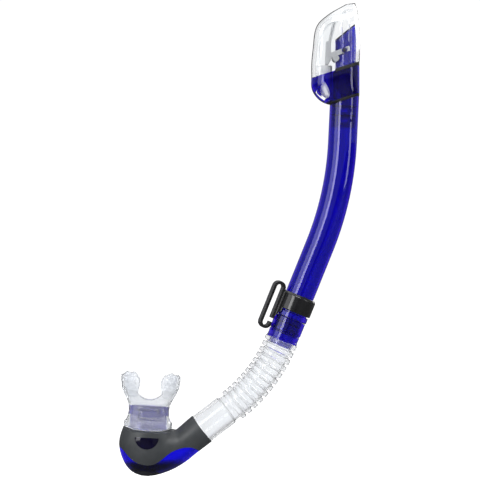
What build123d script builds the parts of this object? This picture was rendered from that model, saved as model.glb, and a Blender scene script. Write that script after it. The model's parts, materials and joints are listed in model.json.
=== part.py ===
from build123d import *
import functools
import math
import os

# Dry-top snorkel, millimetres.  +Z is up when the tube is worn, the tube curves in the XZ plane with its
# mouthpiece towards -X, and the object is mirror-symmetric about that plane, apart from the keeper's turn.
# The origin lies on the barrel's axis, at the middle of the strap keeper's ring.

# ---------------------------------------------------------------- barrel and keeper
BARREL_R = 13.5
BARREL_WALL = 2.0
LOW_LEAN = 22.0                  # degrees from vertical of the stretch that carries the keeper
TOP_LEAN = 2.7                   # degrees from vertical of the stretch below the dry top
CORNER_Z = 100.7                 # height at which the two straight stretches would meet
BARREL_BEND_R = 295.0
BARREL_TOP_Z = 189.5             # height of the slanted top end where it crosses the axis

KEEPER_R = 16.5
KEEPER_TOP, KEEPER_END = -8.7, 8.0       # depths below the origin along the low stretch
KEEPER_TURN = 15.0                       # degrees that the hook is turned to the front
HOOK_IN, HOOK_OUT = 15.9, 27.6           # the strap loop's distances from the barrel's axis
HOOK_TOP, HOOK_END = -14.6, 31.8
HOOK_BAR = 2.9
HOOK_HALF_DEPTH = 4.1
HOOK_GAP = (20.5, 24.0)

FLANGE_R = 15.4
FLANGE_TOP, FLANGE_END = 8.8, 14.4
SPIGOT_R, SPIGOT_BORE, SPIGOT_END = 11.8, 9.8, 30.0
SEAL_GROOVE_R, SEAL_GROOVE = 10.5, (19.0, 20.9)    # radius and depths of the O-ring's groove
CLIP_GROOVE_R, CLIP_GROOVE = 10.9, (25.4, 27.0)    # and of the retaining ring's
CLIP_R, CLIP_THICK = 12.8, 1.0
SEAL_THICK = 1.08

# ---------------------------------------------------------------- swivel and hose
COUPLING_R, COUPLING_GAP = 14.9, 0.08
CLIP_ROOM_R = 13.0               # groove for the retaining ring inside the coupling
COUPLING_TOP, COUPLING_GROOVE, COUPLING_END = 14.7, 28.3, 36.3
HOSE_BEND_R = 147.0
HOSE_END_LEAN = 52.8
HOSE_STRAIGHT = 33.4             # straight stretch between the bend and the elbow's socket
HOSE_CORE_R, HOSE_BORE_R = 12.7, 11.3
RIB_R, RIB_WIDTH, RIB_PITCH, RIB_COUNT = 15.6, 3.7, 6.6, 12
CUFF_R, CUFF_LENGTH = 14.3, 29.0
PLUG_R, PLUG_DEPTH = 12.9, 10.0  # the hose's thinner end, inside the elbow's socket

# ---------------------------------------------------------------- elbow
SOCKET_R = 15.1
SLEEVE, CHAMBER = 1.6, 1.8       # thicknesses of the grey sleeve and of the blue chamber
BOWL_HUB = (-112.4, -114.4)      # centre of the inside bend
BOWL_HUB_R = 2.2
BOWL_STEPS = 18                  # sections between the mouthpiece's side and the neck
NECK_LENGTH = 18.9               # round neck between the bowl and the socket's mouth
# outermost points of the bowl's outline, with the half depth there, from the mouthpiece's side on
BOWL = [
    (-160.6, -113.0, 20.0),
    (-164.7, -127.5, 21.0),
    (-161.8, -143.1, 21.0),
    (-153.6, -155.2, 20.6),
    (-141.8, -160.0, 19.8),
    (-128.2, -158.6, 18.6),
    (-114.4, -153.6, 16.9),
    (-101.0, -145.4, 15.3),
]
MOUTH_X, MOUTH_Z, MOUTH_TILT = -138.0, -114.8, 3.5
ORAL_HALF = (16.9, 9.2)          # half sizes of the oval spigot that the mouthpiece grips
ORAL_HEIGHT = 20.5
LID_DEPTH = 1.6                  # thickness of the sleeve over the chamber's top
PURGE_X = -140.0
PURGE_R = 12.6
PURGE_SEAT_Z = -150.2
SLOT_COUNT, SLOT_PITCH, SLOT_WIDTH = 4, 4.6, 2.4
SEAT_THICK, SEAT_RIM_WIDTH, SEAT_HUB_R, SEAT_SPOKES = 1.6, 3.2, 2.6, 6
DISC_R, DISC_THICK, STEM_R = 10.6, 0.5, 0.8
BADGE_HALF, BADGE_TOP, BADGE_DROP = 11.3, -8.6, 10.8

# ---------------------------------------------------------------- mouthpiece
# half widths and half depths at even steps of height above the elbow's top
LIP_STEP = 5.2
LIPS = [(22.3, 13.4), (21.6, 12.6), (19.4, 11.2), (18.6, 10.9), (19.2, 11.1), (21.4, 11.8), (24.2, 12.6),
        (26.4, 13.2), (27.4, 13.5), (27.7, 13.5), (27.5, 13.3)]
LIP_WALL = 2.4
BITE_GAP, BITE_GAP_Z = 11.6, 26.2    # half width and lowest height of the gap between the two bite wings
TAB_X, TAB_Z = 20.0, 38.5            # centre of a bite tab, and its size
TAB_SIZE = (13.4, 5.0, 21.0)

# ---------------------------------------------------------------- dry top
TOP_RIGHT = 58.7                 # the dry top's back wall
SEAM_SLOPE = 17.6
TOP_WALL = 1.5
# front ends of the cup's sections from the seam down, with their half depths
CUP = [(13.95, 209.5, 18.0), (13.8, 203.6, 17.8), (15.1, 198.0, 17.3), (17.9, 193.3, 16.5),
       (21.9, 189.3, 15.5), (26.6, 186.6, 14.4), (31.6, 185.2, 13.5)]
# front and back ends of the hood's sections from the seam up, with their half depths
HOOD = [((13.95, 209.5), (58.7, 223.7), 18.0), ((13.95, 222.0), (59.2, 235.5), 18.0),
        ((15.2, 236.0), (59.2, 247.5), 17.4), ((20.6, 261.0), (57.5, 267.5), 14.6),
        ((28.6, 268.2), (57.0, 272.6), 12.4), ((45.4, 278.2), (55.0, 279.4), 4.8)]
GASKET_FRONT, GASKET_HALF = 36.0, 1.6
SLEEVE_R, LIP_THICK = 12.2, 2.4  # the gasket's sleeve round the duct, and its lip on the barrel
TONGUE_X, TONGUE_HALF, TONGUE_END_Z = 44.6, 5.4, 199.5

DUCT_X, DUCT_R, DUCT_BORE = 46.2, 9.9, 8.2
TAIL_R, TAIL_BORE, TAIL_END_Z = 11.4, 9.6, 164.0
O_RING_Z = (183.6, 175.0)        # heights of the two rings that seal the duct's tail in the barrel
O_RING_THICK = 1.8
SNAP_Z = (179.5, 170.2)          # heights of the two snap windows on each side of the barrel
SNAP_X = 46.0
SEAT_LOW, SEAT_SLOPE = (36.3, 245.5), 39.0
SEAT_RIM, SEAT_GAP = 0.8, 0.35   # thickness of the rim seal, and its clearance under the closed flap
FLAP_LENGTH, FLAP_HALF = 25.0, 9.8
FLAP_SEAL, FLAP_PLATE = 1.35, 1.5
FLAP_SWING = 38.0
PIVOT_X, PIVOT_Z = 44.45, 235.3
PIN_R, PIN_GAP = 1.6, 0.06
PIN_HEAD_R, PIN_BOSS_R = 2.5, 3.2
ARM_IN, ARM_OUT = 11.0, 12.6     # distances of the lever's side arms from the mirror plane
BOSS_X, BOSS_Z, BOSS_R = 36.4, 228.0, 3.1
FLOAT_FRONT, FLOAT_BACK, FLOAT_HALF = 17.6, 33.2, 12.4
FLOAT_TOP, FLOAT_WALL, FLOAT_LID = 221.3, 1.2, 3.0


def direction(lean):
    """Downward direction of an axis that leans this many degrees from vertical, towards -X."""
    a = math.radians(lean)
    return Vector(-math.sin(a), 0, -math.cos(a))


def frame_at(point, along, across=(0, 1, 0)):
    return Plane(Vector(*point), x_dir=across, z_dir=along)


def polygon(points):
    """Face in the XZ plane from (x, z) points."""
    return make_face(Polyline(*[(x, 0, z) for x, z in points], close=True))


def slab(face, near, far):
    """A face in the XZ plane, thickened from Y = near to Y = far."""
    return Pos(0, near, 0) * extrude(face, far - near, dir=(0, 1, 0))


def pair(near, far, face):
    """The same slab on both sides of the mirror plane."""
    return slab(face, near, far) + slab(face, -far, -near)


def lathe(plane, outline):
    """Solid turned about the plane's Z axis from (radius, depth) points."""
    return plane * revolve(polygon(outline), Axis.Z, 360)


def tube(plane, outer, inner, start, end):
    return lathe(plane, [(inner, start), (outer, start), (outer, end), (inner, end)])


def o_ring(plane, radius, thick, depth):
    section = Plane.XZ * Pos(radius, depth) * Circle(thick / 2)
    return plane * revolve(section, Axis.Z, 360)


def over(plane, height=120):
    """Wide block that stands on a plane, to cut away what lies over it or to keep it."""
    return plane * Box(120, 60, height, align=(Align.CENTER, Align.CENTER, Align.MIN))


def under(plane, height=120):
    return plane * Box(120, 60, height, align=(Align.CENTER, Align.CENTER, Align.MAX))


# ---------------------------------------------------------------- axes
LOW_DOWN = direction(LOW_LEAN)
LOW_LEFT = Vector(-math.cos(math.radians(LOW_LEAN)), 0, math.sin(math.radians(LOW_LEAN)))
LOW = Plane((0, 0, 0), x_dir=LOW_LEFT, z_dir=LOW_DOWN)
CORNER = (CORNER_Z * math.tan(math.radians(LOW_LEAN)), CORNER_Z)
TOP_UP = -direction(TOP_LEAN)


def top_axis_x(z):
    return CORNER[0] + (z - CORNER[1]) * math.tan(math.radians(TOP_LEAN))


NECK = frame_at((top_axis_x(BARREL_TOP_Z), 0, BARREL_TOP_Z), TOP_UP)
BEND = math.radians(HOSE_END_LEAN - LOW_LEAN)
HOSE_ARC = HOSE_BEND_R * BEND
HOSE_LENGTH = HOSE_ARC + HOSE_STRAIGHT


def hose_frame(s):
    """Frame on the hose's axis, s mm below the coupling, with Z down the hose."""
    turned = min(max(s, 0.0), HOSE_ARC) / HOSE_BEND_R
    a0 = math.radians(LOW_LEAN)
    a1 = a0 + turned
    start = LOW_DOWN * COUPLING_END
    point = start - Vector(math.cos(a0) - math.cos(a1), 0, math.sin(a1) - math.sin(a0)) * HOSE_BEND_R
    down = direction(math.degrees(a1))
    past = min(s, 0.0) + max(s - HOSE_ARC, 0.0)
    return frame_at(point + down * past, down)


SOCKET = hose_frame(HOSE_LENGTH)
MOUTH = Plane((MOUTH_X, 0, MOUTH_Z), x_dir=(math.cos(math.radians(MOUTH_TILT)), 0,
                                            -math.sin(math.radians(MOUTH_TILT))),
              z_dir=(math.sin(math.radians(MOUTH_TILT)), 0, math.cos(math.radians(MOUTH_TILT))))


# ---------------------------------------------------------------- barrel
def barrel_rod(radius, above, end_depth):
    """Round rod along the barrel's axis, from above its top to a depth on the low stretch."""
    top = NECK.origin + TOP_UP * above
    path = FilletPolyline(top, Vector(CORNER[0], 0, CORNER[1]), LOW_DOWN * end_depth,
                          radius=BARREL_BEND_R)
    return sweep(frame_at(top, -TOP_UP) * Circle(radius), path=path)


def seam_frame(x, z):
    """Frame on a plane that is parallel to the seam of the dry top, with Z pointing up out of it."""
    a = math.radians(SEAM_SLOPE)
    return Plane((x, 0, z), x_dir=(math.cos(a), 0, math.sin(a)), z_dir=(-math.sin(a), 0, math.cos(a)))


def snap_boxes(length, height, near, far):
    boxes = Part()
    for z in SNAP_Z:
        for side in (-1, 1):
            boxes += Pos(SNAP_X, side * (near + far) / 2, z) * Box(length, far - near, height)
    return boxes


def barrel():
    wall = barrel_rod(BARREL_R, 12, FLANGE_END) - barrel_rod(BARREL_R - BARREL_WALL, 13, FLANGE_TOP)
    wall -= over(seam_frame(*CUP[-1][:2]))
    wall -= snap_boxes(10.6, 2.8, 9, 15)
    outline = [(SPIGOT_BORE, FLANGE_TOP), (BARREL_R - 0.5, FLANGE_TOP), (FLANGE_R - 0.6, FLANGE_TOP + 0.2),
               (FLANGE_R, FLANGE_TOP + 0.8), (FLANGE_R, FLANGE_END - 0.5), (FLANGE_R - 0.5, FLANGE_END),
               (SPIGOT_R, FLANGE_END)]
    for radius, (start, stop) in ((SEAL_GROOVE_R, SEAL_GROOVE), (CLIP_GROOVE_R, CLIP_GROOVE)):
        outline += [(SPIGOT_R, start), (radius, start), (radius, stop), (SPIGOT_R, stop)]
    outline += [(SPIGOT_R - 0.4, SPIGOT_END), (SPIGOT_BORE, SPIGOT_END)]
    end = lathe(LOW, outline)
    bore = lathe(LOW, [(0, -1), (SPIGOT_BORE, -1), (SPIGOT_BORE, SPIGOT_END + 1), (0, SPIGOT_END + 1)])
    return wall - bore + end


def strap_keeper():
    turn = math.radians(KEEPER_TURN)
    outward = LOW_LEFT * math.cos(turn) + Vector(0, -1, 0) * math.sin(turn)
    own = Plane((0, 0, 0), x_dir=outward, z_dir=LOW_DOWN)
    bore = BARREL_R + 0.3
    ring = lathe(Plane.XY, [(bore, KEEPER_TOP), (KEEPER_R - 1.8, KEEPER_TOP), (KEEPER_R, KEEPER_TOP + 2.2),
                            (KEEPER_R, KEEPER_END - 0.6), (KEEPER_R - 0.6, KEEPER_END), (bore, KEEPER_END)])
    skirt = tube(Plane.XY, KEEPER_R, FLANGE_R + 0.3, KEEPER_END - 1, HOOK_GAP[0])
    arch_start, arch_end, far = (8.0, 0, 7.0), (15.6, 0, HOOK_GAP[0]), 40
    edges = Polyline(arch_start, (far, 0, arch_start[2]), (far, 0, HOOK_GAP[0]), arch_end)
    arch = make_face(edges + ThreePointArc(arch_end, (13.6, 0, 11.6), arch_start))
    skirt &= slab(arch, -9, 9)
    middle = (HOOK_IN + HOOK_OUT) / 2
    height = HOOK_END - HOOK_TOP
    width = HOOK_OUT - HOOK_IN
    centre = Plane.XZ * Pos(middle, (HOOK_TOP + HOOK_END) / 2)
    loop = SlotOverall(height, width) - SlotOverall(height - 2 * HOOK_BAR, width - 2 * HOOK_BAR)
    bars = extrude(centre * Rot(0, 0, 90) * loop, HOOK_HALF_DEPTH, both=True)
    gap = Pos(HOOK_IN + 1, 0, sum(HOOK_GAP) / 2) * Box(5.6, 20, HOOK_GAP[1] - HOOK_GAP[0])
    web = Box(2.4, 2 * HOOK_HALF_DEPTH, KEEPER_END - KEEPER_TOP)
    web = Pos(HOOK_IN - 0.6, 0, (KEEPER_TOP + KEEPER_END) / 2) * web
    inside = tube(Plane.XY, bore, 0, -30, 8) + tube(Plane.XY, FLANGE_R + 0.3, 0, 8, 40)
    return own * (ring + skirt + bars + web - gap - inside)


def swivel_coupling():
    bore = SPIGOT_R + COUPLING_GAP
    hose_end = COUPLING_END + 5.0
    barb = HOSE_BORE_R - 0.2
    stop = SPIGOT_END + 0.4
    outside = [(COUPLING_R - 0.4, COUPLING_TOP), (COUPLING_R, COUPLING_TOP + 0.5),
               (COUPLING_R, COUPLING_GROOVE - 0.9), (COUPLING_R - 0.7, COUPLING_GROOVE - 0.4),
               (COUPLING_R - 0.7, COUPLING_GROOVE + 0.4), (COUPLING_R - 0.3, COUPLING_GROOVE + 0.9),
               (COUPLING_R - 0.5, COUPLING_END - 1.9), (COUPLING_R - 0.1, COUPLING_END - 1.5),
               (COUPLING_R - 0.1, COUPLING_END), (barb, COUPLING_END), (barb, hose_end)]
    inside = [(SPIGOT_BORE, hose_end), (SPIGOT_BORE, stop), (bore, stop),
              (bore, CLIP_GROOVE[1]), (CLIP_ROOM_R, CLIP_GROOVE[1]),
              (CLIP_ROOM_R, CLIP_GROOVE[0]), (bore, CLIP_GROOVE[0]), (bore, COUPLING_TOP)]
    return lathe(LOW, outside + inside)


def retaining_ring():
    """Split spring ring that holds the coupling on the barrel's spigot."""
    middle = sum(CLIP_GROOVE) / 2
    ring = tube(LOW, CLIP_R, CLIP_GROOVE_R + 0.3, middle - CLIP_THICK / 2, middle + CLIP_THICK / 2)
    return ring - LOW * Pos(CLIP_R - 0.8, 0, middle) * Box(6, 4, 4)


def coupling_o_ring():
    return o_ring(LOW, SEAL_GROOVE_R + SEAL_THICK / 2, SEAL_THICK, sum(SEAL_GROOVE) / 2)


def hose_rod(radius, start, end):
    """Round rod along the hose's axis, between two distances below the coupling."""
    whole = Part()
    if start < 0:
        whole += tube(hose_frame(start), radius, 0, 0, -start)
        start = 0
    if start < HOSE_ARC:
        first = hose_frame(start)
        last = min(end, HOSE_ARC)
        path = ThreePointArc(first.origin, hose_frame((start + last) / 2).origin, hose_frame(last).origin)
        whole += sweep(first * Circle(radius), path=path)
    if end > HOSE_ARC:
        begin = max(start, HOSE_ARC)
        whole += tube(hose_frame(begin), radius, 0, 0, end - begin)
    return whole


def flex_hose():
    start = 0.05
    cuff_start = HOSE_LENGTH - CUFF_LENGTH
    hose = hose_rod(HOSE_CORE_R, start, cuff_start + 1)
    for i in range(RIB_COUNT):
        centre = hose_frame(start + RIB_WIDTH / 2 + 0.3 + i * RIB_PITCH)
        half = RIB_WIDTH / 2
        hose += lathe(centre, [(0, -half), (RIB_R - 0.8, -half), (RIB_R, 0.8 - half), (RIB_R, half - 0.8),
                               (RIB_R - 0.8, half), (0, half)])
    step = CUFF_LENGTH - 0.1
    plug_end = CUFF_LENGTH + PLUG_DEPTH
    outline = [(0, 0), (CUFF_R - 0.8, 0), (CUFF_R, 0.8), (CUFF_R, step), (PLUG_R, step), (PLUG_R, plug_end),
               (0, plug_end)]
    hose += lathe(hose_frame(cuff_start), outline)
    return hose - hose_rod(HOSE_BORE_R, -2, HOSE_LENGTH + PLUG_DEPTH + 2)


# ---------------------------------------------------------------- elbow
@functools.cache
def bowl(inset):
    """The elbow's outer shape, or a layer inside it: oval sections that fan about the inside bend."""
    hub = Vector(BOWL_HUB[0], 0, BOWL_HUB[1])
    down = Vector(math.cos(math.radians(HOSE_END_LEAN)), 0, -math.sin(math.radians(HOSE_END_LEAN)))
    neck = SOCKET.origin + SOCKET.z_dir * NECK_LENGTH + down * SOCKET_R
    outline = Spline(*[(x, depth, z) for x, z, depth in BOWL], (neck.X, SOCKET_R, neck.Z))
    faces = []
    for i in range(BOWL_STEPS + 1):
        point = outline @ (i / BOWL_STEPS)
        out = Vector(point.X, 0, point.Z)
        ray = (out - hub).normalized()
        near = hub + ray * BOWL_HUB_R
        half = (out - near).length / 2
        plane = Plane((out + near) * 0.5, x_dir=ray, z_dir=ray.cross(Vector(0, 1, 0)))
        faces.append(plane * Ellipse(half - inset, min(point.Y, half - 0.03) - inset))
    mouth = Plane(SOCKET.origin, x_dir=down, z_dir=down.cross(Vector(0, 1, 0)))
    faces.append(mouth * Ellipse(SOCKET_R + 0.05 - inset, SOCKET_R - inset))
    steps = [loft([one, two], ruled=True) for one, two in zip(faces, faces[1:])]
    above = MOUTH * Box(2 * (BOWL_HUB[0] - MOUTH_X), 60, 20, align=(Align.CENTER, Align.CENTER, Align.MIN))
    return Part() + steps - above


def sleeve_region():
    """Space above the wavy edge between the grey sleeve and the blue chamber."""
    edge = Spline((-170, 0, -131.0), (-163.6, 0, -133.0), (-155.0, 0, -141.8), (-146.1, 0, -147.6),
                  (-137.0, 0, -149.2), (-130.4, 0, -147.6), (-123.3, 0, -142.8), (-115.0, 0, -136.6),
                  (-109.2, 0, -134.2), (-102.2, 0, -132.8), (-95.5, 0, -133.6), (-89.4, 0, -137.4),
                  (-84.0, 0, -144.0))
    rest = Polyline((-84.0, 0, -144.0), (-60, 0, -150), (-60, 0, -90), (-170, 0, -90), (-170, 0, -131.0))
    return slab(make_face(edge + rest), -40, 40)


def oval(half_x, half_y, z):
    return MOUTH * Pos(0, 0, z) * Ellipse(half_x, half_y)


def badge_region(shrink=0.0):
    """Half-moon prism through both sides of the sleeve, in the mouthpiece's frame."""
    half = BADGE_HALF - shrink
    top = BADGE_TOP - shrink
    low = BADGE_TOP - BADGE_DROP + shrink
    edge = ThreePointArc((-half, 0, top), (0, 0, low), (half, 0, top))
    face = make_face(edge + Line((half, 0, top), (-half, 0, top)))
    return MOUTH * pair(10, 40, face)


def oral_tube(grow, low):
    """The oval spigot with its flared foot and the frame moulded on its sides, larger by grow."""
    half_x, half_y = ORAL_HALF[0] + grow, ORAL_HALF[1] + grow
    foot = loft([oval(half_x + 1.0, half_y + 1.0, low), oval(half_x, half_y, 3.0)])
    frame = Box(19.0 + 2 * grow, 2 * half_y + 1.0, 9.6 + 2 * grow)
    if not grow:
        frame -= Box(16.0, 2 * half_y + 3.0, 6.8)
    stem = extrude(oval(half_x, half_y, 3.0), ORAL_HEIGHT - 3.0 + grow)
    return foot + stem + MOUTH * Pos(0, 0, 11.5) * frame


def hose_seat(radius):
    return tube(SOCKET, radius, 0, -5.0, PLUG_DEPTH + 0.3)


def air_chamber():
    skin = bowl(SLEEVE) + (bowl(0) - sleeve_region())
    shell = skin - bowl(SLEEVE + CHAMBER) - hose_seat(PLUG_R + 0.3)
    lid = extrude(oval(BOWL_HUB[0] - MOUTH_X, 24, -LID_DEPTH - 2.2), 2.2) & bowl(SLEEVE)
    shell -= extrude(oval(BOWL_HUB[0] - MOUTH_X, 24, -LID_DEPTH), 10)
    way = extrude(oval(ORAL_HALF[0] - 1.8, ORAL_HALF[1] - 1.8, -8.0), ORAL_HEIGHT + 12)
    hose_spigot = tube(SOCKET, HOSE_BORE_R - 0.3, HOSE_BORE_R - 2.0, 1.0, PLUG_DEPTH + 5)
    collar = tube(SOCKET, 16.0, HOSE_BORE_R - 0.4, PLUG_DEPTH + 0.3, PLUG_DEPTH + 2.3) & bowl(SLEEVE)
    drain = Pos(PURGE_X, 0, -158) * Cylinder(PURGE_R - 0.4, 14)
    return shell + lid + oral_tube(0, -LID_DEPTH) + hose_spigot + collar - way - drain


def grip_sleeve():
    sleeve = (bowl(0) & sleeve_region()) - bowl(SLEEVE) - hose_seat(PLUG_R + 0.3)
    top = extrude(oval(BOWL_HUB[0] - MOUTH_X, 24, -LID_DEPTH), LID_DEPTH) & bowl(0)
    return sleeve + top - oral_tube(0.15, -LID_DEPTH) - badge_region()


def side_badges():
    return (bowl(0.2) & badge_region(0.15)) - bowl(SLEEVE)


def drain_slots():
    slots = Part()
    for i in range(SLOT_COUNT):
        y = (i - (SLOT_COUNT - 1) / 2) * SLOT_PITCH
        length = 2 * math.sqrt(PURGE_R ** 2 - y ** 2) - 5.0
        slots += Pos(PURGE_X, y, -158) * Box(length, SLOT_WIDTH, 20)
    return slots


def purge_cover():
    """Slotted cap, flush with the elbow, with a thicker rim that holds up the seat."""
    cap = (bowl(0) - bowl(SLEEVE + CHAMBER)) & (Pos(PURGE_X, 0, -158) * Cylinder(PURGE_R - 0.5, 14))
    recess = bowl(SLEEVE) & (Pos(PURGE_X, 0, -158) * Cylinder(PURGE_R - 1.6, 20))
    return cap - recess - drain_slots()


def purge_seat():
    """Ring with spokes that the diaphragm closes, on a skirt that reaches down to the cover."""
    middle = Pos(PURGE_X, 0, PURGE_SEAT_Z + 0.5)
    skirt = Pos(PURGE_X, 0, PURGE_SEAT_Z - 5) * (Cylinder(PURGE_R, 10) - Cylinder(PURGE_R - 1.2, 12))
    ring = middle * (Cylinder(PURGE_R, SEAT_THICK) - Cylinder(PURGE_R - SEAT_RIM_WIDTH, 3))
    hub = middle * (Cylinder(SEAT_HUB_R, SEAT_THICK) - Cylinder(STEM_R + 0.3, 3))
    spokes = Part()
    for i in range(SEAT_SPOKES):
        turned = middle * Rot(0, 0, 360 * i / SEAT_SPOKES)
        spokes += turned * Pos(5.5, 0, 0) * Box(8.5, 1.2, SEAT_THICK)
    return (skirt + ring + hub + spokes) & bowl(SLEEVE + CHAMBER)


def purge_diaphragm():
    """Silicone disc under the seat, with a stem through the seat's hub."""
    z = PURGE_SEAT_Z - 0.6
    profile = [(0, z + 3.2), (STEM_R, z + 2.6), (STEM_R, z), (DISC_R, z - 0.1),
               (DISC_R, z - 0.1 - DISC_THICK), (3.0, z - 0.9), (0, z - 1.0)]
    return Pos(PURGE_X, 0, 0) * revolve(polygon(profile), Axis.Z, 360)


# ---------------------------------------------------------------- mouthpiece
def mouthpiece():
    outer = [oval(a, b, 0.05 + i * LIP_STEP) for i, (a, b) in enumerate(LIPS)]
    inner = [oval(a - LIP_WALL, b - LIP_WALL, 0.05 + i * LIP_STEP) for i, (a, b) in enumerate(LIPS)]
    grip = oral_tube(0.1, -LID_DEPTH) + extrude(oval(ORAL_HALF[0], ORAL_HALF[1], 5), ORAL_HEIGHT - 3)
    corner_z, flare_z, top_z, flare = BITE_GAP_Z + 4.6, 44, 60, 3.0
    arc = ThreePointArc((-BITE_GAP, 0, corner_z), (0, 0, BITE_GAP_Z), (BITE_GAP, 0, corner_z))
    sides = Polyline((BITE_GAP, 0, corner_z), (BITE_GAP, 0, flare_z), (BITE_GAP + flare, 0, top_z),
                     (-BITE_GAP - flare, 0, top_z), (-BITE_GAP, 0, flare_z), (-BITE_GAP, 0, corner_z))
    gap = MOUTH * slab(make_face(arc + sides), -30, 30)
    tabs = Part()
    for side in (-1, 1):
        tabs += MOUTH * Pos(side * TAB_X, 0, TAB_Z) * Box(*TAB_SIZE)
    return (loft(outer) - loft(inner[4:]) - gap) + tabs - grip


# ---------------------------------------------------------------- dry top
def level(front, back, half_depth, inset=0.0):
    """Rounded section between a front and a back point in the mirror plane."""
    f, b = Vector(front[0], 0, front[1]), Vector(back[0], 0, back[1])
    along = (b - f).normalized()
    half = (b - f).length / 2 - inset
    depth = half_depth - inset
    plane = Plane((f + b) * 0.5, x_dir=along, z_dir=along.cross(Vector(0, 1, 0)))
    corner = min(half, depth) * 0.86
    return plane * RectangleRounded(2 * half, 2 * depth, corner)


def hood_solid(inset):
    faces = [level(front, back, depth, inset) for front, back, depth in HOOD]
    return loft(faces)


def cup_solid(inset):
    faces = []
    for x, z, depth in CUP:
        run = TOP_RIGHT - x
        faces.append(level((x, z), (TOP_RIGHT, z + run * math.tan(math.radians(SEAM_SLOPE))), depth, inset))
    return loft(faces)


def seam_gasket():
    """Black gasket: a band round the back of the seam, a sleeve round the duct, and a lip under the cup."""
    outside = hood_solid(0) + cup_solid(0)
    sleeve = Pos(DUCT_X, 0, 205) * Cylinder(SLEEVE_R, 50) & cup_solid(TOP_WALL + 0.1)
    sleeve = sleeve & under(seam_frame(*CUP[0][:2]), 80)
    gasket = (outside & gasket_room()) + sleeve + (cup_solid(0) & lip_room())
    gasket -= Pos(DUCT_X, 0, 215) * Cylinder(DUCT_R + 0.1, 60)
    return gasket - tail_rod(TAIL_R + 0.1, 178, 206.1)


def lip_room():
    """The slice of the cup that its bottom lip takes up, on the barrel's slanted top."""
    return over(seam_frame(*CUP[-1][:2]), LIP_THICK)


def gasket_room():
    """The slot along the back of the seam that the gasket's band fills."""
    room = seam_frame(*CUP[0][:2]) * Pos(40, 0, 0) * Box(120, 60, 2 * GASKET_HALF)
    return room & (Pos(GASKET_FRONT + 30, 0, 215) * Box(60, 60, 60))


def top_cover():
    roof = over(seam_frame(*HOOD[-1][0]) * Pos(0, 0, -TOP_WALL - 0.6), 60)
    return hood_solid(0) - (hood_solid(TOP_WALL) - roof) - gasket_room()


def intake_holes():
    """Teardrop opening and crescent slot through both sides of the cup."""
    drop = Spline((25.8, 0, 206.2), (29.9, 0, 199.0), (30.3, 0, 192.6), (27.6, 0, 190.6), (22.4, 0, 196.2),
                  (22.8, 0, 202.0), periodic=True)
    slot = Spline((19.6, 0, 199.4), (21.6, 0, 194.6), (26.6, 0, 189.6), (25.4, 0, 188.6), (20.2, 0, 192.6),
                  (18.4, 0, 197.6), periodic=True)
    return pair(2, 30, make_face(drop)) + pair(2, 30, make_face(slot))


def tongue_room(grow):
    """Space of the two latching tongues, which lie flush in the sides of the cup."""
    top = CUP[0][1] + (TONGUE_X - CUP[0][0]) * math.tan(math.radians(SEAM_SLOPE)) - 4.0
    half = TONGUE_HALF + grow
    height = top + grow - TONGUE_END_Z
    plate = Pos(TONGUE_X, 0, TONGUE_END_Z + height / 2) * Box(2 * half, 60, height)
    plate += Pos(TONGUE_X, 0, TONGUE_END_Z) * Rot(90, 0, 0) * Cylinder(half, 60)
    return plate & (cup_solid(0) - cup_solid(0.9 + grow))


def cover_latches():
    tongues = tongue_room(0) & (Pos(TONGUE_X, 0, 200) * Box(30, 60, 60))
    return tongues - Pos(TONGUE_X, 0, 200) * Box(40, 20, 80)


def intake_cup():
    shell = cup_solid(0) - Pos(0, 0, 1.2) * cup_solid(TOP_WALL)
    shell -= tail_rod(TAIL_R + 0.15, 178, 198)
    return shell - intake_holes() - gasket_room() - tongue_room(0.15) - lip_room()


def seat_frame(offset):
    """Frame on the duct's slanted top, or offset mm above it, with X up the slope."""
    a = math.radians(SEAT_SLOPE)
    up = Vector(-math.sin(a), 0, math.cos(a))
    slope = Vector(math.cos(a), 0, math.sin(a))
    return Plane(Vector(SEAT_LOW[0], 0, SEAT_LOW[1]) + up * offset, x_dir=slope, z_dir=up)


def tail_rod(radius, low, high):
    start = Vector(top_axis_x(low), 0, low)
    return tube(frame_at(start, TOP_UP), radius, 0, 0, high - low)


def air_duct():
    duct = Pos(DUCT_X, 0, 240) * Cylinder(DUCT_R, 80) - over(seat_frame(-SEAT_RIM), 80)
    bore = Pos(DUCT_X, 0, 240) * Cylinder(DUCT_BORE, 84)
    tail = tail_rod(TAIL_R, TAIL_END_Z, 206)
    way = tail_rod(TAIL_BORE, TAIL_END_Z - 1, 203)
    lugs = snap_boxes(10.0, 2.2, 10, 13.0)
    boss = Part()
    for side in (-1, 1):
        boss += Pos(PIVOT_X, side * 9.6, PIVOT_Z) * Rot(90, 0, 0) * Cylinder(PIN_BOSS_R, 2.2)
    grooves = Part()
    for z in O_RING_Z:
        ring_frame = frame_at((top_axis_x(z), 0, z), TOP_UP)
        grooves += tube(ring_frame, TAIL_R + 1, BARREL_R - BARREL_WALL - O_RING_THICK, -1.1, 1.1)
    pin_holes = Pos(PIVOT_X, 0, PIVOT_Z) * Rot(90, 0, 0) * (Cylinder(PIN_R, 40) - Cylinder(PIN_R + 1, 18.0))
    return duct + tail + lugs + boss - bore - way - grooves - pin_holes


def neck_o_rings():
    rings = Part()
    for z in O_RING_Z:
        ring_frame = frame_at((top_axis_x(z), 0, z), TOP_UP)
        rings += o_ring(ring_frame, BARREL_R - BARREL_WALL - O_RING_THICK / 2, O_RING_THICK, 0)
    return rings


def duct_rim_seal():
    ring = Pos(DUCT_X, 0, 250) * (Cylinder(DUCT_R, 60) - Cylinder(DUCT_BORE, 62))
    return ring - over(seat_frame(0), 80) - under(seat_frame(-SEAT_RIM), 80)


def opened(shape):
    """Turns a piece of the flap from its closed place to its open one, about the lever's pins."""
    return Pos(PIVOT_X, 0, PIVOT_Z) * Rot(0, -FLAP_SWING, 0) * Pos(-PIVOT_X, 0, -PIVOT_Z) * shape


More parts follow.
